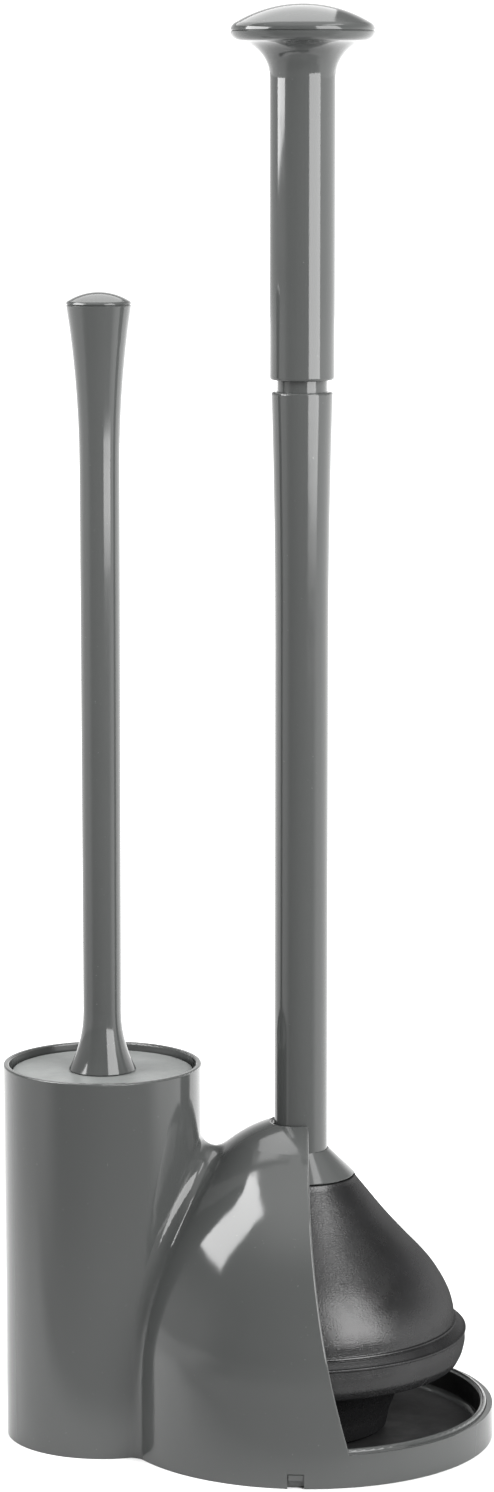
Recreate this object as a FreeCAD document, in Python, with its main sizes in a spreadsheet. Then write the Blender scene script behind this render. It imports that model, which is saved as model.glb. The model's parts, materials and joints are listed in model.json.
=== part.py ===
"""Toilet plunger and toilet brush that stand together on one moulded holder.

Frame: millimetres, +Z up, origin at the middle of the holder's footprint on the floor.
+X runs from the brush canister to the plunger dome, and the set is symmetric about the XZ plane.

Every turned piece is drawn as a half profile (radius, height) and revolved about its own axis.
Profiles are lists of steps: (r, z) is a straight line to that point, and (r, z, radius) an arc,
which bulges to the left of the direction of travel when the radius is positive.
"""
import FreeCAD, Part
import math
import os
import re

import Sketcher

# Driving dimensions, in millimetres.
SIZES = {
    # Holder: a canister for the brush and a dome for the plunger, moulded as one shell.
    "axis_spacing": 80.0,
    "canister_radius": 39.0,
    "canister_draft": 0.6,
    "canister_height": 149.5,
    "canister_wall": 2.4,
    "lid_bead_height": 143.6,
    "lid_bead_width": 1.8,
    "dome_radius": 74.2,
    "dome_height": 128.3,
    "dome_shoulder": 32.0,
    "crown_radius": 50.0,
    "dome_wall": 2.2,
    "valley_fillet": 6.0,
    "edge_round": 0.7,
    "ring_height": 12.8,
    "opening_top": 3.0,
    "opening_foot": 19.0,
    "opening_radius": 420.0,
    "notch_radius": 11.6,
    # Base tray, snapped into the shell from below.
    "tray_floor": 2.5,
    "tray_lip_height": 14.4,
    "tray_lip_wall": 2.3,
    "tray_gap": 0.2,
    "snap_x": -3.5,
    "snap_width": 6.4,
    "snap_height": 5.8,
    # Brush.
    "lid_radius": 35.6,
    "lid_top": 146.6,
    "lid_thickness": 2.6,
    "brush_foot_radius": 13.2,
    "brush_waist_radius": 7.5,
    "brush_grip_radius": 7.85,
    "brush_head_radius": 12.55,
    "brush_waist_height": 170.0,
    "brush_flare_height": 384.0,
    "brush_seam_height": 446.2,
    "brush_top": 451.0,
    "brush_cap_plug": 12.0,
    "hub_radius": 7.0,
    "hub_bottom": 67.0,
    "bristle_radius": 28.0,
    "bristle_bottom": 60.0,
    "bristle_top": 137.0,
    "bristle_arc_radius": 40.0,
    "stud_radius": 4.4,
    "stud_top": 178.0,
    # Plunger.
    "plunger_offset": 2.0,
    "plunger_top": 560.0,
    "knob_radius": 27.6,
    "knob_seam_height": 549.7,
    "knob_crown_radius": 50.0,
    "knob_plug": 11.0,
    "grip_radius": 12.5,
    "grip_bottom": 417.5,
    "grip_flare_radius": 14.0,
    "grip_straight_top": 532.0,
    "coupler_radius": 9.7,
    "coupler_plug": 28.0,
    "thread_radius": 8.4,
    "thread_gap": 0.1,
    "seam_groove": 0.4,
    "shaft_top": 413.0,
    "shaft_top_radius": 11.9,
    "shaft_radius": 10.45,
    "shaft_taper_height": 315.0,
    "shaft_bottom": 99.0,
    "shaft_plug_length": 26.0,
    "cup_stud_length": 24.0,
    "collar_top": 115.5,
    "collar_bottom": 105.2,
    "collar_radius": 21.0,
    "cup_radius": 65.7,
    "cup_neck_height": 105.1,
    "crown_bottom": 94.5,
    "crown_corner_radius": 24.6,
    "hub_disc_radius": 16.0,
    "hub_disc_thickness": 2.5,
    "bell_radius": 61.0,
    "bell_slope_radius": 48.9,
    "bell_slope_height": 73.6,
    "bell_arc_radius": 49.0,
    "bell_neck_radius": 250.0,
    "lip_top": 49.9,
    "lip_bottom": 30.0,
    "rubber_wall": 4.0,
    "sleeve_radius": 34.0,
    "sleeve_top_radius": 46.0,
    "sleeve_wall": 2.8,
    "sleeve_arc_radius": 45.0,
    "body_gap": 0.3,
}

# Lengths worked out from the driving dimensions, as formulas in the sheet.
DERIVED = {
    "dome_x": "(axis_spacing + canister_radius - dome_radius) / 2",
    "canister_x": "dome_x - axis_spacing",
    "plunger_x": "dome_x - plunger_offset",
    "crown_centre": "dome_height - crown_radius",
    "side_radius": "(dome_radius * dome_radius - crown_radius * crown_radius"
                   " + (crown_centre - dome_shoulder) * (crown_centre - dome_shoulder))"
                   " / (2 * (dome_radius - crown_radius))",
    "side_centre": "dome_radius - side_radius",
    "canister_bore": "canister_radius - canister_wall",
    "tray_radius": "dome_radius - dome_wall - tray_gap",
    "partition_bottom": "tray_floor + tray_gap",
    "lid_bottom": "lid_top - lid_thickness",
    "socket_radius": "stud_radius + thread_gap",
    "tube_bore": "thread_radius + thread_gap",
    "knob_crown_centre": "plunger_top - knob_crown_radius",
    "knob_edge_radius": "(knob_crown_radius * knob_crown_radius - knob_radius * knob_radius"
                        " - (knob_crown_centre - knob_seam_height) * (knob_crown_centre - knob_seam_height))"
                        " / (2 * (knob_crown_radius - knob_radius))",
    "flare_height": "knob_seam_height - grip_straight_top",
    "flare_centre": "grip_radius + grip_flare_radius",
    "rim_radius": "(flare_height * flare_height + (knob_radius - flare_centre) * (knob_radius - flare_centre)"
                  " - grip_flare_radius * grip_flare_radius)"
                  " / (2 * (grip_flare_radius + knob_radius - flare_centre))",
    "cup_bottom": "tray_floor + body_gap",
    "hub_disc_bottom": "shaft_bottom - hub_disc_thickness",
    "foot_flare_height": "brush_waist_height - lid_top - 0.6",
    "foot_flare_width": "brush_foot_radius - brush_waist_radius",
    "foot_flare_radius": "(foot_flare_height * foot_flare_height + foot_flare_width * foot_flare_width)"
                         " / (2 * foot_flare_width)",
    "head_flare_height": "brush_seam_height - brush_flare_height",
    "head_flare_width": "brush_head_radius - brush_grip_radius",
    "head_flare_radius": "(head_flare_height * head_flare_height + head_flare_width * head_flare_width)"
                         " / (2 * head_flare_width)",
    "cap_width": "brush_head_radius - 1",
    "cap_rise": "brush_top - brush_seam_height - 1.6",
    "taper_length": "shaft_top - 1 - shaft_taper_height",
    "taper_width": "shaft_top_radius - shaft_radius",
}

doc = FreeCAD.newDocument("PlungerSet")
sheet = doc.addObject("Spreadsheet::Sheet", "Dims")


def fill_sheet():
    """Write every dimension into the sheet, one row each: name, then value or formula."""
    for row, (alias, value) in enumerate(list(SIZES.items()) + list(DERIVED.items()), start=1):
        sheet.set("A%d" % row, alias)
        sheet.set("B%d" % row, "=" + value if isinstance(value, str) else str(value))
        sheet.setAlias("B%d" % row, alias)
    doc.recompute()


def bound(expression):
    """The expression with each alias written as a reference to the sheet."""
    return re.sub(r"\b[a-z][a-z_]+\b(?!\()", r"Dims.\g<0>", expression)


def number(expression):
    """The expression's present value, in millimetres."""
    value = sheet.evalExpression(expression)
    return float(getattr(value, "Value", value))


# ---------------------------------------------------------------- sketches and features

def origin_object(body, role):
    """One of a body's own origin planes or axes."""
    return next(item for item in body.Origin.OriginFeatures if item.Role == role)


def new_body(name, x="0"):
    """An empty body whose axis stands at x, which is an expression."""
    body = doc.addObject("PartDesign::Body", name)
    body.Label = name
    body.setExpression("Placement.Base.x", bound(x))
    return body


def new_sketch(body, name, plane="XZ_Plane", height=None):
    """A sketch on one of the body's planes, lifted by height where one is given."""
    sketch = body.newObject("Sketcher::SketchObject", name)
    sketch.AttachmentSupport = [(origin_object(body, plane), "")]
    sketch.MapMode = "FlatFace"
    if height is not None:
        sketch.setExpression("AttachmentOffset.Base.z", bound(height))
    return sketch


def fixed_point(edge, end, x, y):
    """Two lengths from the sketch's origin to an edge's end, each with its expression."""
    return [(Sketcher.Constraint(kind, -1, 1, edge, end, number(expression)), expression)
            for kind, expression in (("DistanceX", x), ("DistanceY", y))]


def constrain(sketch, joints, lengths):
    """Add the joints between edges, then the lengths, and bind each length to the sheet."""
    first = sketch.ConstraintCount + len(joints)
    sketch.addConstraint(joints + [constraint for constraint, expression in lengths])
    for index, (constraint, expression) in enumerate(lengths, start=first):
        sketch.setExpression("Constraints[%d]" % index, bound(expression))


def arc_between(start, end, radius):
    """Anticlockwise arc on start and end; a positive radius bulges to the left of start-to-end."""
    chord = end - start
    left = FreeCAD.Vector(-chord.y, chord.x, 0).normalize()
    sagitta = abs(radius) - math.sqrt(radius * radius - chord.Length ** 2 / 4)
    middle = (start + end) * 0.5 + left * math.copysign(sagitta, radius)
    return Part.Arc(end, middle, start) if radius > 0 else Part.Arc(start, middle, end)


def nearest_end(geometry, point):
    """Which end of a line or arc lies at a point, in the sketcher's numbers: 1 start, 2 end."""
    to_start = geometry.StartPoint.distanceToPoint(point)
    to_end = geometry.EndPoint.distanceToPoint(point)
    return 1 if to_start < to_end else 2


def draw_outline(sketch, steps):
    """Draw a closed outline through the steps, with every corner and radius bound to the sheet."""
    points = [FreeCAD.Vector(number(step[0]), number(step[1]), 0) for step in steps]
    for index, step in enumerate(steps):
        start, end = points[index - 1], points[index]
        if len(step) == 3:
            sketch.addGeometry(arc_between(start, end, number(step[2])))
        else:
            sketch.addGeometry(Part.LineSegment(start, end))
    edges = list(sketch.Geometry)
    joints = []
    lengths = []
    for index, (point, step) in enumerate(zip(points, steps)):
        following = (index + 1) % len(points)
        end, start = nearest_end(edges[index], point), nearest_end(edges[following], point)
        joints.append(Sketcher.Constraint("Coincident", index, end, following, start))
        lengths += fixed_point(index, end, step[0], step[1])
        if len(step) == 3:
            radius = "abs(%s)" % step[2]
            lengths.append((Sketcher.Constraint("Radius", index, number(radius)), radius))
    constrain(sketch, joints, lengths)


def draw_circle(sketch, x, radius):
    """A circle centred on the sketch's first axis."""
    centre = FreeCAD.Vector(number(x), 0, 0)
    circle = sketch.addGeometry(Part.Circle(centre, FreeCAD.Vector(0, 0, 1), number(radius)))
    size = (Sketcher.Constraint("Radius", circle, number(radius)), radius)
    constrain(sketch, [], fixed_point(circle, 3, x, "0") + [size])


def turn(body, name, steps, kind="PartDesign::Revolution", axis_x=None):
    """Revolve a profile about the body's axis, or about an upright line at axis_x."""
    sketch = new_sketch(body, name + "_profile")
    if axis_x is None:
        draw_outline(sketch, steps)
    else:
        draw_outline(sketch, [("(%s) + (%s)" % (axis_x, step[0]),) + tuple(step[1:]) for step in steps])
        foot = FreeCAD.Vector(number(axis_x), 0, 0)
        axis = sketch.addGeometry(Part.LineSegment(foot, foot + FreeCAD.Vector(0, 10, 0)), True)
        constrain(sketch, [], fixed_point(axis, 1, axis_x, "0") + fixed_point(axis, 2, axis_x, "10"))
    feature = body.newObject(kind, name)
    feature.Profile = sketch
    feature.ReferenceAxis = (sketch, ["V_Axis" if axis_x is None else "Axis0"])
    feature.Angle = 360
    doc.recompute()
    return feature


def groove(body, name, steps, axis_x=None):
    """Cut a revolved profile out of the body, and make sure that it did cut."""
    before = body.Shape.Volume
    feature = turn(body, name, steps, "PartDesign::Groove", axis_x)
    check_cut(body, name, before)
    return feature


def extrude(body, name, sketch, kind, length, midplane=False, backwards=False):
    """Pad or pocket a sketch by a length from the sheet."""
    feature = body.newObject(kind, name)
    feature.Profile = sketch
    feature.setExpression("Length", bound(length))
    feature.SideType = "Symmetric" if midplane else "One side"
    feature.Reversed = backwards
    doc.recompute()
    return feature


def pocket(body, name, sketch, length, midplane=False, backwards=False):
    """Pocket a sketch, and make sure that it did cut."""
    before = body.Shape.Volume
    extrude(body, name, sketch, "PartDesign::Pocket", length, midplane, backwards)
    check_cut(body, name, before)


def check_cut(body, name, before):
    """Stop unless the body lost volume to its latest feature."""
    if not body.Shape.Volume < before - 1e-3:
        raise RuntimeError("%s cut nothing" % name)


def fillet(body, name, radius, wanted):
    """Round the edges of the body's shape that wanted(edge) picks."""
    base = body.Tip
    picked = ["Edge%d" % index for index, edge in enumerate(base.Shape.Edges, start=1) if wanted(edge)]
    feature = body.newObject("PartDesign::Fillet", name)
    feature.Base = (base, picked)
    feature.setExpression("Radius", bound(radius))
    doc.recompute()
    return feature


# ---------------------------------------------------------------- holder

def dome_steps(inset, bottom):
    """The dome's half profile: a crown arc, a side arc tangent to it, and an upright skirt."""
    turn_r = "(side_radius - (%s)) / (side_radius - crown_radius)" % inset
    return [
        ("0", bottom),
        ("dome_radius - (%s)" % inset, bottom),
        ("dome_radius - (%s)" % inset, "dome_shoulder"),
        ("side_centre * (1 - %s)" % turn_r,
         "dome_shoulder + (crown_centre - dome_shoulder) * %s" % turn_r,
         "-(side_radius - (%s))" % inset),
        ("0", "dome_height - (%s)" % inset, "-(crown_radius - (%s))" % inset),
    ]


def dome_distance(point):
    """How far a point of the holder body lies outside the dome's outer surface."""
    r = math.hypot(point.x, point.y)
    if point.z <= number("dome_shoulder"):
        return r - number("dome_radius")
    side = math.hypot(r - number("side_centre"), point.z - number("dome_shoulder"))
    crown = math.hypot(r, point.z - number("crown_centre"))
    return min(abs(side - number("side_radius")), abs(crown - number("crown_radius")))


def on_valley(edge):
    """True for the crease between the outside of the canister and the outside of the dome."""
    middle = edge.valueAt((edge.FirstParameter + edge.LastParameter) / 2)
    reach = math.hypot(middle.x + number("axis_spacing"), middle.y)
    outside = reach > number("canister_radius - canister_draft - 0.05")
    return outside and abs(dome_distance(middle)) < 0.05 and edge.Length > 20 and middle.z > 0.1


def make_holder_shell():
    """Canister and dome in one shell, open below, with the plunger's bay open to +X."""
    body = new_body("holder_shell", "dome_x")
    axis = "-axis_spacing"
    turn(body, "canister", [
        ("0", "0"),
        ("canister_radius - canister_draft", "0"),
        ("canister_radius", "canister_height"),
        ("0", "canister_height"),
    ], axis_x=axis)
    groove(body, "canister_bore", [
        ("0", "-1"),
        ("canister_bore", "-1"),
        ("canister_bore", "lid_bead_height - 3"),
        ("canister_bore - lid_bead_width", "lid_bead_height - 1.2"),
        ("canister_bore - lid_bead_width", "lid_bead_height"),
        ("canister_bore", "lid_bead_height"),
        ("canister_bore", "canister_height + 1"),
        ("0", "canister_height + 1"),
    ], axis_x=axis)
    turn(body, "dome", dome_steps("0", "0"))
    fillet(body, "valley", "valley_fillet", on_valley)
    groove(body, "bay", dome_steps("dome_wall", "-1"))
    trim_partition(body)
    cut_opening(body)
    cut_handle_notch(body)
    cut_snap_windows(body)
    fillet(body, "rim_round", "edge_round", on_canister_rim)
    fillet(body, "opening_round", "edge_round", on_opening_outside)
    return body


def trim_partition(body):
    """Lift the foot of the wall between brush and plunger clear of the base tray."""
    sketch = new_sketch(body, "partition_foot", "XY_Plane")
    draw_circle(sketch, "-axis_spacing", "canister_bore")
    pocket(body, "partition_trim", sketch, "partition_bottom", backwards=True)


def cut_opening(body):
    """Open the dome towards +X along a long arc, down to the ring that stays all round."""
    sketch = new_sketch(body, "opening_profile")
    draw_outline(sketch, [
        ("opening_foot - plunger_offset", "ring_height"),
        ("opening_top - plunger_offset", "dome_height + 1", "opening_radius"),
        ("dome_radius + 5", "dome_height + 1"),
        ("dome_radius + 5", "ring_height"),
    ])
    pocket(body, "opening", sketch, "2 * dome_radius + 10", midplane=True)


def cut_handle_notch(body):
    """Slot the dome's crown for the plunger's shaft, open to +X."""
    sketch = new_sketch(body, "notch_outline", "XY_Plane", "collar_bottom")
    draw_outline(sketch, [
        ("notch_radius", "-notch_radius"),
        ("notch_radius", "notch_radius"),
        ("-plunger_offset", "notch_radius"),
        ("-plunger_offset - notch_radius", "0", "-notch_radius"),
        ("-plunger_offset", "-notch_radius", "-notch_radius"),
    ])
    pocket(body, "handle_notch", sketch, "dome_height - collar_bottom + 1", backwards=True)


def cut_snap_windows(body):
    """Cut a window for each of the tray's snap tabs through the ring, front and back."""
    sketch = new_sketch(body, "snap_outline")
    draw_outline(sketch, [
        ("snap_x - snap_width / 2", "-1"),
        ("snap_x + snap_width / 2", "-1"),
        ("snap_x + snap_width / 2", "snap_height"),
        ("snap_x - snap_width / 2", "snap_height"),
    ])
    pocket(body, "snap_windows", sketch, "2 * dome_radius + 10", midplane=True)


def on_canister_rim(edge):
    """True for both edges of the canister's top face."""
    return edge.BoundBox.ZMin > number("canister_height") - 1e-3


def on_opening_outside(edge):
    """True for the long outer edges where the opening and the notch cut the dome."""
    middle = edge.valueAt((edge.FirstParameter + edge.LastParameter) / 2)
    free = middle.x > -number("notch_radius + plunger_offset") - 0.1 and middle.z > number("ring_height") + 1
    return free and abs(dome_distance(middle)) < 0.02 and edge.Length > 5


# ---------------------------------------------------------------- base tray

def make_base_tray():
    """Plate that closes the shell from below, with a raised lip round the plunger's basin."""
    body = new_body("base_tray", "dome_x")
    turn(body, "disc", [
        ("0", "0"),
        ("tray_radius", "0"),
        ("tray_radius", "tray_lip_height - tray_lip_wall / 2"),
        ("tray_radius - tray_lip_wall / 2", "tray_lip_height", "-tray_lip_wall / 2"),
        ("0", "tray_lip_height"),
    ])
    sketch = new_sketch(body, "canister_plate_outline", "XY_Plane")
    draw_circle(sketch, "-axis_spacing", "canister_bore - tray_gap")
    extrude(body, "canister_plate", sketch, "PartDesign::Pad", "tray_floor")
    sketch = new_sketch(body, "snap_tab_outline")
    draw_outline(sketch, [
        ("snap_x - snap_width / 2 + 0.4", "tray_floor + 0.7"),
        ("snap_x + snap_width / 2 - 0.4", "tray_floor + 0.7"),
        ("snap_x + snap_width / 2 - 0.4", "snap_height - 0.4"),
        ("snap_x - snap_width / 2 + 0.4", "snap_height - 0.4"),
    ])
    extrude(body, "snap_tabs", sketch, "PartDesign::Pad", "2 * dome_radius - 1", midplane=True)
    groove(body, "basin", [
        ("0", "tray_floor"),
        ("tray_radius - tray_lip_wall - 3", "tray_floor"),
        ("tray_radius - tray_lip_wall", "tray_floor + 3", "-3"),
        ("tray_radius - tray_lip_wall", "tray_lip_height - tray_lip_wall / 2"),
        ("tray_radius - tray_lip_wall / 2", "tray_lip_height", "-tray_lip_wall / 2"),
        ("tray_radius - tray_lip_wall / 2", "tray_lip_height + 1"),
        ("0", "tray_lip_height + 1"),
    ])
    return body


# ---------------------------------------------------------------- brush

def make_brush_lid():
    """Disc that closes the canister and rests on the bead inside it."""
    body = new_body("brush_lid", "canister_x")
    turn(body, "disc", [
        ("socket_radius", "lid_bottom"),
        ("lid_radius", "lid_bottom"),
        ("lid_radius", "lid_top - 0.8"),
        ("lid_radius - 0.8", "lid_top", "-0.8"),
        ("socket_radius", "lid_top"),
    ])
    return body


def make_brush_handle():
    """Slim moulded tube that flares at the foot and at the head."""
    body = new_body("brush_handle", "canister_x")
    turn(body, "tube", [
        ("socket_radius", "lid_top"),
        ("brush_foot_radius - 0.6", "lid_top"),
        ("brush_foot_radius", "lid_top + 0.6", "-0.6"),
        ("brush_waist_radius", "brush_waist_height", "foot_flare_radius"),
        ("brush_grip_radius", "brush_flare_height"),
        ("brush_head_radius", "brush_seam_height - seam_groove", "head_flare_radius"),
        ("brush_head_radius - seam_groove", "brush_seam_height"),
        ("socket_radius", "brush_seam_height"),
    ])
    return body


def make_brush_handle_cap():
    """Domed plug in the open top of the brush's handle."""
    body = new_body("brush_handle_cap", "canister_x")
    turn(body, "cap", [
        ("0", "brush_seam_height - brush_cap_plug"),
        ("stud_radius", "brush_seam_height - brush_cap_plug"),
        ("stud_radius", "brush_seam_height"),
        ("brush_head_radius - seam_groove", "brush_seam_height"),
        ("brush_head_radius", "brush_seam_height + seam_groove"),
        ("brush_head_radius - 1", "brush_seam_height + 1.6", "-1.6"),
        ("0", "brush_top", "-(cap_width * cap_width + cap_rise * cap_rise) / (2 * cap_rise)"),
    ])
    return body


def make_brush_hub():
    """Core of the brush's head, with a stud up through the lid into the handle."""
    body = new_body("brush_hub", "canister_x")
    turn(body, "core", [
        ("0", "hub_bottom"),
        ("hub_radius - 3", "hub_bottom"),
        ("hub_radius", "hub_bottom + 3", "-3"),
        ("hub_radius", "bristle_top + 2"),
        ("hub_radius + 4", "bristle_top + 4"),
        ("hub_radius + 4", "lid_bottom"),
        ("stud_radius", "lid_bottom"),
        ("stud_radius", "stud_top - 1"),
        ("stud_radius - 1", "stud_top"),
        ("0", "stud_top"),
    ])
    return body


def make_brush_bristles():
    """Outer shape of the bristles: round at the top, tapering down past the dome's wall."""
    body = new_body("brush_bristles", "canister_x")
    turn(body, "envelope", [
        ("0", "bristle_bottom"),
        ("hub_radius - 0.5", "bristle_bottom + 2.5", "-(hub_radius + 3)"),
        ("bristle_radius - 2", "bristle_bottom + 43"),
        ("bristle_radius - 3", "bristle_top - 10", "-bristle_arc_radius"),
        ("bristle_radius - 9", "bristle_top", "-10"),
        ("0", "bristle_top"),
    ])
    groove(body, "hub_hole", [
        ("0", "hub_bottom - thread_gap"),
        ("hub_radius + thread_gap", "hub_bottom - thread_gap"),
        ("hub_radius + thread_gap", "bristle_top + 1"),
        ("0", "bristle_top + 1"),
    ])
    return body


# ---------------------------------------------------------------- plunger handle

def make_knob_cap():
    """Domed top of the plunger's knob, plugged into the grip."""
    body = new_body("plunger_knob_cap", "plunger_x")
    reach = "knob_crown_radius / (knob_crown_radius - knob_edge_radius)"
    turn(body, "cap", [
        ("0", "knob_seam_height - knob_plug"),
        ("thread_radius", "knob_seam_height - knob_plug"),
        ("thread_radius", "knob_seam_height"),
        ("knob_radius - seam_groove", "knob_seam_height"),
        ("knob_radius", "knob_seam_height + seam_groove"),
        ("(knob_radius - knob_edge_radius) * %s" % reach,
         "knob_crown_centre + (knob_seam_height - knob_crown_centre) * %s" % reach,
         "-knob_edge_radius"),
        ("0", "plunger_top", "-knob_crown_radius"),
    ])
    return body


def make_grip():
    """Hollow upper handle, flared at the top into the lower half of the knob."""
    body = new_body("plunger_grip", "plunger_x")
    share = "grip_flare_radius / (grip_flare_radius + rim_radius)"
    turn(body, "tube", [
        ("tube_bore", "grip_bottom"),
        ("grip_radius - 1", "grip_bottom"),
        ("grip_radius", "grip_bottom + 1", "-1"),
        ("grip_radius", "grip_straight_top"),
        ("flare_centre + (knob_radius - rim_radius - flare_centre) * %s" % share,
         "grip_straight_top + flare_height * %s" % share,
         "grip_flare_radius"),
        ("knob_radius", "knob_seam_height - seam_groove", "-rim_radius"),
        ("knob_radius - seam_groove", "knob_seam_height"),
        ("tube_bore", "knob_seam_height"),
    ])
    return body


def make_coupler():
    """Neck between grip and shaft, with a plug up into one and down into the other."""
    body = new_body("plunger_coupler", "plunger_x")
    turn(body, "plugs", [
        ("0", "shaft_top - coupler_plug"),
        ("thread_radius", "shaft_top - coupler_plug"),
        ("thread_radius", "shaft_top"),
        ("coupler_radius", "shaft_top"),
        ("coupler_radius", "grip_bottom"),
        ("thread_radius", "grip_bottom"),
        ("thread_radius", "grip_bottom + coupler_plug"),
        ("0", "grip_bottom + coupler_plug"),
    ])
    return body


def make_shaft():
    """Long lower tube, drawn in gently from its top."""
    body = new_body("plunger_shaft", "plunger_x")
    turn(body, "tube", [
        ("tube_bore", "shaft_bottom"),
        ("shaft_radius", "shaft_bottom"),
        ("shaft_radius", "shaft_taper_height"),
        ("shaft_top_radius", "shaft_top - 1",
         "(taper_length * taper_length + taper_width * taper_width) / (2 * taper_width)"),
        ("shaft_top_radius - 1", "shaft_top", "-1"),
        ("tube_bore", "shaft_top"),
    ])
    return body


def make_shaft_plug():
    """Plug in the foot of the shaft that takes the cup's stud."""
    body = new_body("shaft_plug", "plunger_x")
    turn(body, "plug", [
        ("socket_radius", "shaft_bottom"),
        ("thread_radius", "shaft_bottom"),
        ("thread_radius", "shaft_bottom + shaft_plug_length"),
        ("socket_radius", "shaft_bottom + shaft_plug_length"),
    ])
    return body


# ---------------------------------------------------------------- plunger cup

def make_collar():
    """Flared trim ring that covers the joint between shaft and cup."""
    body = new_body("plunger_collar", "plunger_x")
    turn(body, "flare", [
        ("shaft_radius + thread_gap", "collar_bottom"),
        ("collar_radius - 0.5", "collar_bottom"),
        ("collar_radius", "collar_bottom + 0.6", "-0.6"),
        ("shaft_radius + 0.5", "collar_top"),
        ("shaft_radius + thread_gap", "collar_top"),
    ])
    return body


def make_cup_hub():
    """Rigid disc moulded into the cup's crown, with the stud that screws into the shaft."""
    body = new_body("cup_hub", "plunger_x")
    turn(body, "disc", [
        ("0", "hub_disc_bottom"),
        ("hub_disc_radius", "hub_disc_bottom"),
        ("hub_disc_radius", "shaft_bottom"),
        ("stud_radius", "shaft_bottom"),
        ("stud_radius", "shaft_bottom + cup_stud_length"),
        ("0", "shaft_bottom + cup_stud_length"),
    ])
    return body


def make_cup():
    """Rubber bell, closed at its crown, with a thick beaded lip and an inner sleeve below."""
    body = new_body("plunger_cup", "plunger_x")
    outside = [
        ("0", "crown_bottom"),
        ("0", "hub_disc_bottom"),
        ("hub_disc_radius + thread_gap", "hub_disc_bottom"),
        ("hub_disc_radius + thread_gap", "shaft_bottom"),
        ("shaft_radius + thread_gap", "shaft_bottom"),
        ("shaft_radius + thread_gap", "cup_neck_height"),
        ("collar_radius - 0.5", "cup_neck_height"),
        ("bell_slope_radius", "bell_slope_height", "-bell_neck_radius"),
        ("bell_radius", "lip_top", "bell_arc_radius"),
        ("bell_radius + 0.7", "lip_top - 1", "0.8"),
        ("cup_radius - 0.8", "lip_top - 4.9", "-12"),
        ("cup_radius - 0.2", "lip_top - 5.8", "0.7"),
        ("cup_radius - 3.7", "lip_bottom + 0.6", "22"),
        ("cup_radius - 5", "lip_bottom", "1.6"),
    ]
    inside = [
        ("sleeve_top_radius + 3", "lip_bottom + 1"),
        ("sleeve_radius", "cup_bottom + sleeve_wall / 2", "-sleeve_arc_radius"),
        ("sleeve_radius - sleeve_wall", "cup_bottom + sleeve_wall / 2", "sleeve_wall / 2 + 0.1"),
        ("sleeve_top_radius", "lip_bottom + rubber_wall", "sleeve_arc_radius + 1"),
        ("bell_radius - rubber_wall", "lip_bottom + rubber_wall + 1"),
        ("bell_radius - rubber_wall", "lip_top"),
        ("bell_slope_radius - 2.9", "bell_slope_height - 2.7", "rubber_wall - bell_arc_radius"),
        ("crown_corner_radius", "crown_bottom"),
    ]
    turn(body, "rubber", outside + inside)
    return body


# ---------------------------------------------------------------- checks and files

MAKERS = [
    make_holder_shell, make_base_tray,
    make_brush_lid, make_brush_handle, make_brush_handle_cap, make_brush_hub, make_brush_bristles,
    make_knob_cap, make_grip, make_coupler, make_shaft, make_shaft_plug,
    make_collar, make_cup_hub, make_cup,
]


def check_document(bodies):
    """Stop unless every object rebuilt cleanly and every sub-part is one sound solid."""
    doc.recompute()
    for item in doc.Objects:
        if "Invalid" in item.State or "Error" in item.State:
            raise RuntimeError("%s did not rebuild: %s" % (item.Label, item.State))
    for body in bodies:
        if body.Shape.isNull() or not body.Shape.isValid() or len(body.Shape.Solids) != 1:
            raise RuntimeError("%s is not one sound solid" % body.Label)


fill_sheet()
bodies = [make() for make in MAKERS]
check_document(bodies)
os.makedirs("parts", exist_ok=True)
for body in bodies:
    body.Shape.exportStep("parts/%s.step" % body.Label)
    box = body.Shape.BoundBox
    print("%-18s %8.1f mm3   z %6.1f to %6.1f" % (body.Label, body.Shape.Volume, box.ZMin, box.ZMax))
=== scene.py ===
import json
import math
import random

import bpy
from mathutils import Matrix, Vector


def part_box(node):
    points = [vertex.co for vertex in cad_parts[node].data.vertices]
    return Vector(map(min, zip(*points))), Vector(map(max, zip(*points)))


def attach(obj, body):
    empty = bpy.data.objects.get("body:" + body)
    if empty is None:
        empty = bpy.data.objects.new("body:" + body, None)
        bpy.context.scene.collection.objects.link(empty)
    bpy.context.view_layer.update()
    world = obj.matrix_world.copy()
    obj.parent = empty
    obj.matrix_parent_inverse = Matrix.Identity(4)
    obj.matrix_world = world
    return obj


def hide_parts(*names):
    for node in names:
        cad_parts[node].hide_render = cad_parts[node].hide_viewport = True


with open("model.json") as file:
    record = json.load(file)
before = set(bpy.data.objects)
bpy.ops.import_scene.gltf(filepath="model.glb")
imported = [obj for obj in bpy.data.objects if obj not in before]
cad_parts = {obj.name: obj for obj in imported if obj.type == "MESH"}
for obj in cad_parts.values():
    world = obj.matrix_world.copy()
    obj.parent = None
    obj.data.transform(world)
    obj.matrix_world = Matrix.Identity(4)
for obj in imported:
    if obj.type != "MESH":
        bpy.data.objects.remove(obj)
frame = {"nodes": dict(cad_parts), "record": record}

MM = 0.001
# Camera: the photo's height and the focal length that its perspective gives, both in pixels.
PHOTO_HEIGHT, FOCAL_LENGTH = 1492, 4402.2
SENSOR = 36
# The tray in millimetres: outer radius, thickness of its raised lip, top of its floor.
TRAY_RADIUS, LIP_WALL, FLOOR_TOP = 71.8, 2.3, 2.5
# Thickness in millimetres of the dark skin that paints shade into the basin, and the turns of the
# cup and of that skin.
SHADE_SKIN_DEPTH = 0.12
CUP_TURNS, SHADE_SKIN_TURNS = 192, 160
# The bristles: rings up the core, tufts in a ring, filaments in a tuft, and sizes in millimetres.
RINGS, TUFTS, FILAMENTS = 13, 16, 9
CORE_RADIUS, FILAMENT_RADIUS = 5.5, 0.32
# Bump depths of the plastics and the rubber, in metres.
PLASTIC_WAVE, SCUFF_DEPTH, FINE_GRAIN, RUBBER_WAVE = 0.00002, 0.00001, 0.00003, 0.0003
# Share of the rubber's light that a glossy layer without grazing gain sends back.
RUBBER_GLOSS = 0.043

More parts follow.
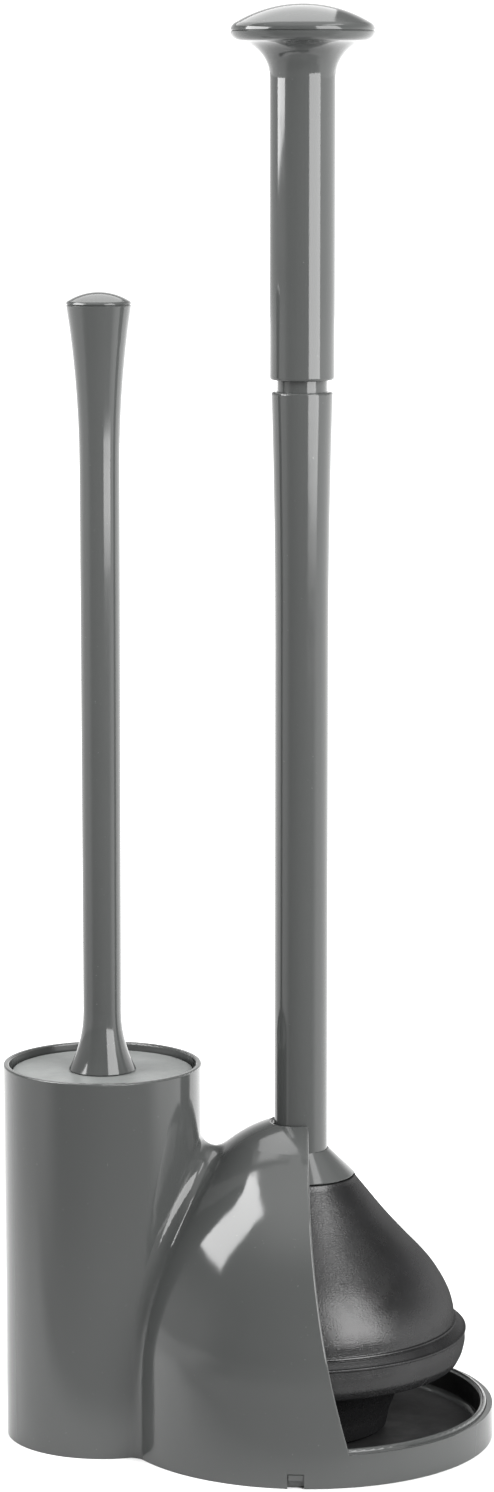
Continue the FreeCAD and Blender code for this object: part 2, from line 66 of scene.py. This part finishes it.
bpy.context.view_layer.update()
nodes = frame["nodes"]


# ---------------------------------------------------------------- material tools

class Shade:
    """One procedural material, with short names for the nodes that it needs."""

    def __init__(self, name, color, roughness, **sockets):
        self.material = bpy.data.materials.new(name)
        self.material.use_nodes = True
        self.tree = self.material.node_tree
        self.shader = self.tree.nodes["Principled BSDF"]
        self.shader.inputs["Base Color"].default_value = (*color, 1)
        self.shader.inputs["Roughness"].default_value = roughness
        for socket, value in sockets.items():
            self.shader.inputs[socket.replace("_", " ")].default_value = value
        self.place = self.node("ShaderNodeTexCoord").outputs["Object"]

    def node(self, kind, **settings):
        made = self.tree.nodes.new(kind)
        for key, value in settings.items():
            setattr(made, key, value)
        return made

    def link(self, source, target):
        self.tree.links.new(source, target)

    def noise(self, scale, detail=4.0, roughness=0.5, stretch=(1, 1, 1)):
        """Noise of about one feature every 1/scale metres, stretched along the axes."""
        mapping = self.node("ShaderNodeMapping")
        mapping.inputs["Scale"].default_value = stretch
        self.link(self.place, mapping.inputs["Vector"])
        texture = self.node("ShaderNodeTexNoise")
        texture.inputs["Scale"].default_value = scale
        texture.inputs["Detail"].default_value = detail
        texture.inputs["Roughness"].default_value = roughness
        self.link(mapping.outputs["Vector"], texture.inputs["Vector"])
        return texture.outputs["Fac"]

    def cells(self, scale, stretch=(1, 1, 1)):
        """Distance to the edges of small irregular cells."""
        mapping = self.node("ShaderNodeMapping")
        mapping.inputs["Scale"].default_value = stretch
        self.link(self.place, mapping.inputs["Vector"])
        texture = self.node("ShaderNodeTexVoronoi", feature="DISTANCE_TO_EDGE")
        texture.inputs["Scale"].default_value = scale
        self.link(mapping.outputs["Vector"], texture.inputs["Vector"])
        return texture.outputs["Distance"]

    def spread(self, source, low, high, start=0.35, end=0.65):
        """Map a pattern's range start to end to the range low to high."""
        ramp = self.node("ShaderNodeMapRange")
        ramp.inputs["From Min"].default_value = start
        ramp.inputs["From Max"].default_value = end
        ramp.inputs["To Min"].default_value = low
        ramp.inputs["To Max"].default_value = high
        self.link(source, ramp.inputs["Value"])
        return ramp.outputs["Result"]

    def sum(self, first, second):
        made = self.node("ShaderNodeMath", operation="ADD")
        self.link(first, made.inputs[0])
        self.link(second, made.inputs[1])
        return made.outputs["Value"]

    def mix(self, factor, first, second):
        """Blend two colours by a 0 to 1 pattern. Either can be a plain colour or another blend."""
        mixer = self.node("ShaderNodeMix", data_type="RGBA")
        self.link(factor, mixer.inputs["Factor"])
        for value, socket in ((first, mixer.inputs["A"]), (second, mixer.inputs["B"])):
            if isinstance(value, tuple):
                socket.default_value = (*value, 1)
            else:
                self.link(value, socket)
        return mixer.outputs["Result"]

    def bump(self, height, distance, under=None):
        """Raise the surface by a pattern, over the bump already made if one is given."""
        made = self.node("ShaderNodeBump")
        made.inputs["Strength"].default_value = 1.0
        made.inputs["Distance"].default_value = distance
        self.link(height, made.inputs["Height"])
        if under is not None:
            self.link(under, made.inputs["Normal"])
        return made.outputs["Normal"]

    def drive(self, **sockets):
        """Link patterns to the shader's sockets, and give back the finished material."""
        for socket, source in sockets.items():
            self.link(source, self.shader.inputs[socket.replace("_", " ")])
        return self.material


def shaded(color, share):
    return tuple(channel * share for channel in color)


def moulded_plastic(name, color, roughness, grain=0.0):
    """Injection-moulded plastic: faint flow clouding, a slow wave, dull scuffs and specks."""
    shade = Shade(name, color, roughness, IOR=1.5)
    flow = shade.spread(shade.noise(14, 3, stretch=(1, 1, 0.35)), 0, 1)
    tint = shade.mix(flow, shaded(color, 0.95), shaded(color, 1.05))
    specks = shade.spread(shade.noise(900, 2), 0, 1, 0.74, 0.78)
    tint = shade.mix(specks, tint, shaded(color, 1.8))
    haze = shade.spread(shade.noise(60, 5, 0.6), roughness * 0.8, roughness * 1.25)
    scuffs = shade.spread(shade.noise(300, 3, 0.6, stretch=(1, 1, 0.08)), 0, 0.12, 0.66, 0.74)
    normal = shade.bump(shade.noise(55, 1), PLASTIC_WAVE)
    normal = shade.bump(scuffs, SCUFF_DEPTH, under=normal)
    if grain:
        normal = shade.bump(shade.noise(2600, 2), grain, under=normal)
    return shade.drive(Base_Color=tint, Roughness=shade.sum(haze, scuffs), Normal=normal)


def rubber(name):
    """Moulded rubber: leathery grain and cloudy bloom, with an even gloss at grazing angles."""
    shade = Shade(name, (0.008, 0.008, 0.008), 0.3)
    bloom = shade.spread(shade.noise(26, 5, 0.6), 0, 1, 0.4, 0.68)
    tint = shade.mix(bloom, (0.006, 0.006, 0.006), (0.011, 0.011, 0.0115))
    dull = shade.spread(shade.noise(140, 6, 0.65), 0.22, 0.3)
    wrinkles = shade.spread(shade.cells(700, stretch=(1, 1, 1.8)), 0, 1, 0.0, 0.25)
    normal = shade.bump(wrinkles, FINE_GRAIN)
    normal = shade.bump(shade.noise(900, 3, 0.6), FINE_GRAIN, under=normal)
    normal = shade.bump(shade.noise(45, 2), RUBBER_WAVE, under=normal)
    shade.shader.inputs["Specular IOR Level"].default_value = 0.0
    shade.drive(Base_Color=tint, Normal=normal)
    gloss = shade.node("ShaderNodeBsdfAnisotropic")
    gloss.inputs["Color"].default_value = (1, 1, 1, 1)
    shade.link(dull, gloss.inputs["Roughness"])
    shade.link(normal, gloss.inputs["Normal"])
    blend = shade.node("ShaderNodeMixShader")
    blend.inputs["Fac"].default_value = RUBBER_GLOSS
    shade.link(shade.shader.outputs["BSDF"], blend.inputs[1])
    shade.link(gloss.outputs["BSDF"], blend.inputs[2])
    shade.link(blend.outputs["Shader"], shade.tree.nodes["Material Output"].inputs["Surface"])
    return shade.material


def painted_shade_plastic(name):
    """Dull black skin, painted shade for the shaded basin: fine spark-eroded grain with worn,
    slightly paler arcs.
    """
    shade = Shade(name, (0.02, 0.02, 0.02), 0.55, IOR=1.5, Specular_IOR_Level=0.15)
    worn = shade.spread(shade.noise(38, 4, 0.6), 0, 1, 0.4, 0.7)
    tint = shade.mix(worn, (0.018, 0.018, 0.018), (0.024, 0.024, 0.0245))
    dull = shade.spread(shade.noise(120, 4), 0.48, 0.62)
    grain = shade.bump(shade.noise(1800, 2), PLASTIC_WAVE)
    return shade.drive(Base_Color=tint, Roughness=dull, Normal=grain)


def nylon(name):
    """Bristle filament: milky, a little translucent, with each length slightly different."""
    color = (0.62, 0.63, 0.62)
    shade = Shade(name, color, 0.38, IOR=1.53, Transmission_Weight=0.15)
    clouds = shade.spread(shade.noise(400, 2), 0, 1)
    tint = shade.mix(clouds, shaded(color, 0.85), shaded(color, 1.1))
    dull = shade.spread(shade.noise(250, 3), 0.32, 0.48)
    grain = shade.bump(shade.noise(3000, 2), PLASTIC_WAVE)
    return shade.drive(Base_Color=tint, Roughness=dull, Normal=grain)


GREY = (0.0515, 0.0537, 0.0527)
looks = {
    "shell_plastic": moulded_plastic("shell_plastic_look", GREY, 0.1),
    "tray_plastic": moulded_plastic("tray_plastic_look", GREY, 0.12),
    "handle_plastic": moulded_plastic("handle_plastic_look", GREY, 0.09),
    # The lid is the grey made 2.9 times lighter: painted light for the light that falls on its top.
    "lid_plastic": moulded_plastic("lid_painted_light_look", shaded(GREY, 2.9), 0.38, grain=FINE_GRAIN),
    # This dark finish also makes the skin of painted shade in the basin.
    "hidden_plastic": painted_shade_plastic("hidden_plastic_look"),
    "bristle_nylon": nylon("bristle_nylon_look"),
    "cup_rubber": rubber("cup_rubber_look"),
}
for row in frame["record"]["subparts"]:
    for slot in nodes[row["node"]].material_slots:
        slot.material = looks[row["material_slot"]]


# ---------------------------------------------------------------- pieces

def mesh_object(name, points, faces, body, slot):
    """A smooth mesh that rides on a body and takes its finish from a slot."""
    mesh = bpy.data.meshes.new(name)
    mesh.from_pydata(points, [], faces)
    mesh.validate()
    mesh.shade_smooth()
    mesh.materials.append(looks[slot])
    piece = bpy.data.objects.new(name, mesh)
    bpy.context.scene.collection.objects.link(piece)
    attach(piece, body)
    return piece


def fillet_steps(before, corner, after, radius, count=5):
    """Points that round one corner of a profile."""
    before, corner, after = Vector(before), Vector(corner), Vector(after)
    into, out = (before - corner).normalized(), (after - corner).normalized()
    half = into.angle(out) / 2
    reach = min(radius / math.tan(half),
                (before - corner).length * 0.48, (after - corner).length * 0.48)
    start, end = corner + into * reach, corner + out * reach
    steps = []
    for index in range(count + 1):
        t = index / count
        steps.append(tuple(start * (1 - t) ** 2 + corner * 2 * t * (1 - t) + end * t ** 2))
    return steps


def curved(points, count):
    """A smooth curve through the inner points, from after the second to the last but one."""
    steps = []
    for index in range(1, len(points) - 2):
        before, start, end, after = (Vector(point) for point in points[index - 1:index + 3])
        for step in range(1, count + 1):
            t = step / count
            steps.append(tuple(0.5 * (2 * start + (end - before) * t
                                      + (2 * before - 5 * start + 4 * end - after) * t ** 2
                                      + (3 * start - before - 3 * end + after) * t ** 3)))
    return steps


def cup_profile(box):
    """Half profile of the rubber cup, from its neck round the lip and sleeve and back up inside."""
    low, high = box
    outer = (high[0] - low[0]) / 2 / MM
    top, foot = high[2] / MM, low[2] / MM
    corners = [((11.2, top - 5.5), 0), ((11.2, top - 0.15), 0.2), ((21.3, top - 0.15), 0.5),
               ((21.9, top - 1.5), 0)]
    bell = [
        (20.4, top + 0.4), (21.9, top - 1.5), (27.6, top - 8.6), (34.4, top - 16.8),
        (42.2, top - 25.3), (48.2, top - 31.5), (52.8, top - 37.0), (56.7, top - 43.2),
        (59.0, top - 48.1), (60.2, top - 52.1), (60.7, top - 55.6), (60.8, top - 60.0),
    ]
    corners += [(point, 0) for point in curved(bell, 6)]
    # The two beads and the crest of the lip.
    corners += [
        ((60.8, top - 57.9), 0.3), ((61.5, top - 58.0), 0.3), ((61.75, top - 58.6), 0.3),
        ((61.2, top - 59.1), 0.2), ((63.0, top - 60.2), 1.5), ((64.5, top - 61.2), 0.3),
        ((outer - 0.05, top - 61.4), 0.3), ((outer - 0.05, top - 62.1), 0.3),
        ((outer - 0.6, top - 62.5), 0.3), ((outer - 0.35, top - 66.4), 8),
        ((outer - 1.4, top - 70.8), 6), ((outer - 3.2, top - 74.3), 1.2),
        ((outer - 5.4, top - 75.1), 1),
    ]
    # The sleeve, down its outside and up its inside, and then the inside of the bell.
    corners += [
        ((49, foot + 28.2), 3), ((43.5, foot + 22.5), 8), ((38.6, foot + 15.5), 8),
        ((35.4, foot + 7.8), 6), ((34, foot + 1), 1), ((32.6, foot + 0.05), 0.9),
        ((31.2, foot + 1.1), 1), ((32.3, foot + 8.5), 6), ((35.2, foot + 16.2), 8),
        ((39.6, foot + 23.6), 8), ((46.4, foot + 31.3), 2), ((57, foot + 32.2), 2),
        ((57, foot + 47), 8), ((54.5, foot + 55), 8), ((46, foot + 67.8), 8),
        ((24.6, foot + 91.6), 3), ((0.0, foot + 91.7), 0),
    ]
    steps = []
    for index, (corner, radius) in enumerate(corners):
        if radius and 0 < index < len(corners) - 1:
            steps += fillet_steps(corners[index - 1][0], corner, corners[index + 1][0], radius)
        else:
            steps.append(corner)
    return steps


def at_radius(axis, r, angle, z):
    """The point r millimetres out from the axis, z millimetres up."""
    return (axis.x + r * MM * math.cos(angle), axis.y + r * MM * math.sin(angle), z * MM)


def turned(profile, axis, turns):
    """Points and faces of an open profile that starts on the axis, turned about it."""
    points = [(axis.x, axis.y, profile[0][1] * MM)]
    faces = []
    for r, z in profile[1:]:
        for turn in range(turns):
            points.append(at_radius(axis, r, math.tau * turn / turns, z))
    for turn in range(turns):
        following = (turn + 1) % turns
        faces.append((0, 1 + turn, 1 + following))
        for row in range(len(profile) - 2):
            first = 1 + row * turns
            faces.append((first + turn, first + turns + turn,
                          first + turns + following, first + following))
    return points, faces


def make_cup():
    """The rubber cup as a turned mesh, with thin beads on the lip and a slightly uneven wall."""
    low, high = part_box("plunger_cup")
    axis = Vector(((low[0] + high[0]) / 2, (low[1] + high[1]) / 2, 0))
    profile = cup_profile((low, high))
    turns = CUP_TURNS
    chance = random.Random(7)
    lobes = [(count, chance.uniform(0, math.tau), chance.uniform(0.1, 0.16)) for count in (2, 3, 5)]
    points, faces = [], []
    for r, z in profile[:-1]:
        share = max(0.0, 1 - abs(z - 75) / 24)
        for turn in range(turns):
            angle = math.tau * turn / turns
            sag = sum(size * math.sin(count * angle + phase) for count, phase, size in lobes)
            points.append(at_radius(axis, r - 0.35 * share * (1 + sag), angle, z))
    rows = len(profile) - 1
    for row in range(rows - 1):
        for turn in range(turns):
            following = (turn + 1) % turns
            faces.append((row * turns + turn, (row + 1) * turns + turn,
                          (row + 1) * turns + following, row * turns + following))
    points.append((axis.x, axis.y, profile[-1][1] * MM))
    for turn in range(turns):
        faces.append(((rows - 1) * turns + turn, len(points) - 1,
                      (rows - 1) * turns + (turn + 1) % turns))
    points.append((axis.x, axis.y, profile[0][1] * MM))
    for turn in range(turns):
        faces.append((turn, (turn + 1) % turns, len(points) - 1))
    cup = mesh_object("rubber_cup", points, faces, "plunger", "cup_rubber")
    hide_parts("plunger_cup")


def make_shade_skin():
    """Thin dark skin on the floor and the inner wall of the plunger's basin: painted shade where
    the cup shades the basin.
    """
    low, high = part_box("base_tray")
    axis = Vector((high[0] - TRAY_RADIUS * MM, (low[1] + high[1]) / 2, 0))
    inner, crest, skin = TRAY_RADIUS - LIP_WALL, high[2] / MM, SHADE_SKIN_DEPTH
    outline = [(0.0, FLOOR_TOP + skin), (inner - 3.2, FLOOR_TOP + skin)]
    outline += fillet_steps(outline[-1], (inner - skin, FLOOR_TOP + skin),
                            (inner - skin, crest), 3.0, 10)
    outline += [(inner - skin, crest - 1.6), (inner - skin + 0.05, crest - 1.2),
                (inner + 0.1, crest - 1.2)]
    points, faces = turned(outline, axis, SHADE_SKIN_TURNS)
    # A dark skin of painted shade over the basin, riding on the holder.
    mesh_object("basin_shade_skin", points, faces, "holder", "hidden_plastic")


def make_bristles():
    """Tufts of separate filaments in rings round the core, inside the head's outer shape."""
    low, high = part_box("brush_bristles")
    core_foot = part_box("brush_hub")[0][2]
    axis = Vector(((low[0] + high[0]) / 2, (low[1] + high[1]) / 2, 0))
    reach = (high[0] - low[0]) / 2
    chance = random.Random(11)
    points, faces = [], []
    sides, joints = 4, 4
    for ring in range(RINGS):
        level = ring / (RINGS - 1)
        root_z = core_foot + 2 * MM + level * (high[2] - core_foot - 9 * MM)
        for tuft in range(TUFTS):
            around = math.tau * (tuft + 0.5 * (ring % 2)) / TUFTS
            for _ in range(FILAMENTS):
                angle = around + chance.uniform(-0.16, 0.16)
                rise = (level - 0.42) * 0.95 + chance.uniform(-0.1, 0.1)
                trim = 0.92 if 0.12 < level < 0.9 else 0.72
                length = reach * trim * chance.uniform(0.9, 1.0)
                outward = Vector((math.cos(angle), math.sin(angle), 0))
                root = axis + outward * CORE_RADIUS * MM
                root = root + Vector((0, 0, root_z + chance.uniform(-1.2, 1.2) * MM))
                tip = axis + outward * length
                tip.z = root.z + (length - CORE_RADIUS * MM) * rise
                tip.z = min(max(tip.z, low[2] + 1 * MM), high[2] - 1 * MM)
                droop = Vector((0, 0, chance.uniform(-1.5, 0.5) * MM))
                spin = Vector((-outward.y, outward.x, 0))
                first = len(points)
                other = (tip - root).normalized().cross(spin)
                for joint in range(joints):
                    t = joint / (joints - 1)
                    centre = root.lerp(tip, t) + droop * math.sin(math.pi * t)
                    thick = FILAMENT_RADIUS * MM * (1 - 0.25 * t)
                    for side in range(sides):
                        turn = math.tau * side / sides
                        across = spin * math.cos(turn) + other * math.sin(turn)
                        points.append(tuple(centre + across * thick))
                for joint in range(joints - 1):
                    for side in range(sides):
                        a = first + joint * sides + side
                        b = first + joint * sides + (side + 1) % sides
                        faces.append((a, b, b + sides, a + sides))
                faces.append(tuple(first + side for side in reversed(range(sides))))
                faces.append(tuple(first + (joints - 1) * sides + side for side in range(sides)))
    bristles = mesh_object("bristle_tufts", points, faces, "brush", "bristle_nylon")
    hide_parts("brush_bristles")


make_cup()
make_shade_skin()
make_bristles()


# ---------------------------------------------------------------- stage, light and camera

# Brightness of the surroundings by direction, and how pale the floor is behind and in front; the
# greyer front is painted shade, for a floor less lit in front.
FRONT_TONE, SIDE_TONE, BACK_TONE, CEILING_SHARE = 0.4, 1.3, 1.6, 0.12
ZENITH_TONE = 1.2
FLOOR_TONE, FLOOR_FRONT_SHADE = 0.75, 0.375
FLOOR_RADIUS = 8
# Distances from the object, in metres, between which the floor goes over to its own glow.
GLOW_START, GLOW_END = 0.2, 0.6


def by_direction(tree, vector, left_share, right_share):
    """A tone by how far a direction points to +Y, darker higher up and bright again overhead."""
    split = tree.nodes.new("ShaderNodeSeparateXYZ")
    tree.links.new(vector, split.inputs["Vector"])

    def step(axis, *values):
        ramp = tree.nodes.new("ShaderNodeMapRange")
        ramp.interpolation_type = "SMOOTHSTEP"
        for key, value in zip(("From Min", "From Max", "To Min", "To Max"), values):
            ramp.inputs[key].default_value = value
        tree.links.new(split.outputs[axis], ramp.inputs["Value"])
        return ramp.outputs["Result"]

    def joined(operation, first, second):
        made = tree.nodes.new("ShaderNodeMath")
        made.operation = operation
        tree.links.new(first, made.inputs[0])
        tree.links.new(second, made.inputs[1])
        return made.outputs["Value"]

    sides = step("Y", -0.7, -0.3, FRONT_TONE, SIDE_TONE)
    back = step("Y", -0.1, 0.7, 0.0, BACK_TONE - SIDE_TONE)
    height = joined("MULTIPLY", step("Z", 0.08, 0.5, 1.0, CEILING_SHARE),
                    step("X", -0.6, 0.6, left_share, right_share))
    zenith = step("Z", 0.6, 0.95, 0.0, ZENITH_TONE)
    return joined("ADD", joined("MULTIPLY", joined("ADD", sides, back), height), zenith)


def make_floor():
    """A disc, pale but greyer in front as painted shade, that glows with distance: white in the
    main view.
    """
    bpy.ops.mesh.primitive_circle_add(vertices=128, radius=FLOOR_RADIUS, fill_type="NGON",
                                      location=(0, 0, 0))
    floor = bpy.context.object
    floor.name = "floor"
    shade = Shade("floor_look", (FLOOR_TONE, FLOOR_TONE, FLOOR_TONE), 0.8, Specular_IOR_Level=0.0)
    tree = shade.tree
    parts = shade.node("ShaderNodeSeparateXYZ")
    shade.link(shade.place, parts.inputs["Vector"])
    # Painted shade: the floor's colour halves in front of the object.
    front_shade_edge = shade.spread(parts.outputs["Y"], 0, 1, -0.12, -0.07)
    shade.drive(Base_Color=shade.mix(front_shade_edge, (FLOOR_FRONT_SHADE,) * 3, (FLOOR_TONE,) * 3))
    length = shade.node("ShaderNodeVectorMath", operation="LENGTH")
    shade.link(shade.place, length.inputs[0])
    straight = shade.node("ShaderNodeVectorMath", operation="NORMALIZE")
    shade.link(shade.place, straight.inputs[0])
    far = shade.node("ShaderNodeMapRange", interpolation_type="SMOOTHSTEP")
    far.inputs["From Min"].default_value = GLOW_START
    far.inputs["From Max"].default_value = GLOW_END
    shade.link(length.outputs["Value"], far.inputs["Value"])
    glow = shade.node("ShaderNodeEmission")
    shade.link(by_direction(tree, straight.outputs["Vector"], 1.15, 1.5), glow.inputs["Strength"])
    blend = shade.node("ShaderNodeMixShader")
    shade.link(far.outputs["Result"], blend.inputs["Fac"])
    shade.link(shade.shader.outputs["BSDF"], blend.inputs[1])
    shade.link(glow.outputs["Emission"], blend.inputs[2])
    shade.link(blend.outputs["Shader"], tree.nodes["Material Output"].inputs["Surface"])
    floor.data.materials.append(shade.material)


def make_world():
    """White surroundings whose brightness follows the direction, as in the photo's reflections."""
    world = bpy.data.worlds.new("studio")
    bpy.context.scene.world = world
    world.use_nodes = True
    tree = world.node_tree
    ray = tree.nodes.new("ShaderNodeTexCoord").outputs["Generated"]
    background = tree.nodes["Background"]
    background.inputs["Color"].default_value = (1, 1, 1, 1)
    tree.links.new(by_direction(tree, ray, 0.6, 1.2), background.inputs["Strength"])


def softbox(name, centre, across, upward, radiance):
    """A rectangular light spanned by two edge vectors, facing the object."""
    centre, across, upward = Vector(centre), Vector(across), Vector(upward)
    upward = upward - across * (upward.dot(across) / across.length_squared)
    light = bpy.data.lights.new(name, "AREA")
    light.shape = "RECTANGLE"
    light.size, light.size_y = across.length, upward.length
    light.energy = radiance * math.pi * across.length * upward.length
    lamp = bpy.data.objects.new(name, light)
    bpy.context.scene.collection.objects.link(lamp)
    x, y = across.normalized(), upward.normalized()
    if x.cross(y).dot(centre) < 0:
        x = -x
    z = x.cross(y)
    lamp.matrix_world = Matrix.Translation(centre) @ Matrix((x, y, z)).transposed().to_4x4()
    lamp.visible_camera = False


def make_camera():
    """The camera, at the place and angle that the photo's perspective gives."""
    data = bpy.data.cameras.new("camera")
    data.sensor_width = SENSOR
    data.lens = SENSOR * FOCAL_LENGTH / PHOTO_HEIGHT
    camera = bpy.data.objects.new("camera", data)
    bpy.context.scene.collection.objects.link(camera)
    camera.location = (0.0254, -1.6905, 0.5338)
    camera.rotation_euler = (math.radians(90 - 8.692), 0, math.radians(0.888))
    bpy.context.scene.camera = camera


make_floor()
make_world()
softbox("right_softbox", (1.062, -1.079, 1.16), (0.827, 0.799, 0), (0, 0, 1.98), 7.5)
softbox("right_softbox_core", (1.062, -1.079, 1.2), (0.827, 0.799, 0), (0, 0, 1.4), 4.5)
softbox("overhead_softbox", (0.5, -0.15, 1.3), (0.12, 0.5, 0), (0.16, -0.04, -0.06), 4)
softbox("left_softbox", (-0.553, -0.098, 0.655), (-0.031, 0.43, -0.031),
        (0.333, 0.048, 0.328), 11.5)
softbox("back_softbox", (-0.145, 0.38, 0.8), (0.49, 0, 0), (0, 0.54, 0), 2)
softbox("back_softbox_core", (-0.145, 0.235, 0.8), (0.49, 0, 0), (0, 0.25, 0), 4.5)
make_camera()
bpy.context.scene.view_settings.view_transform = "Standard"
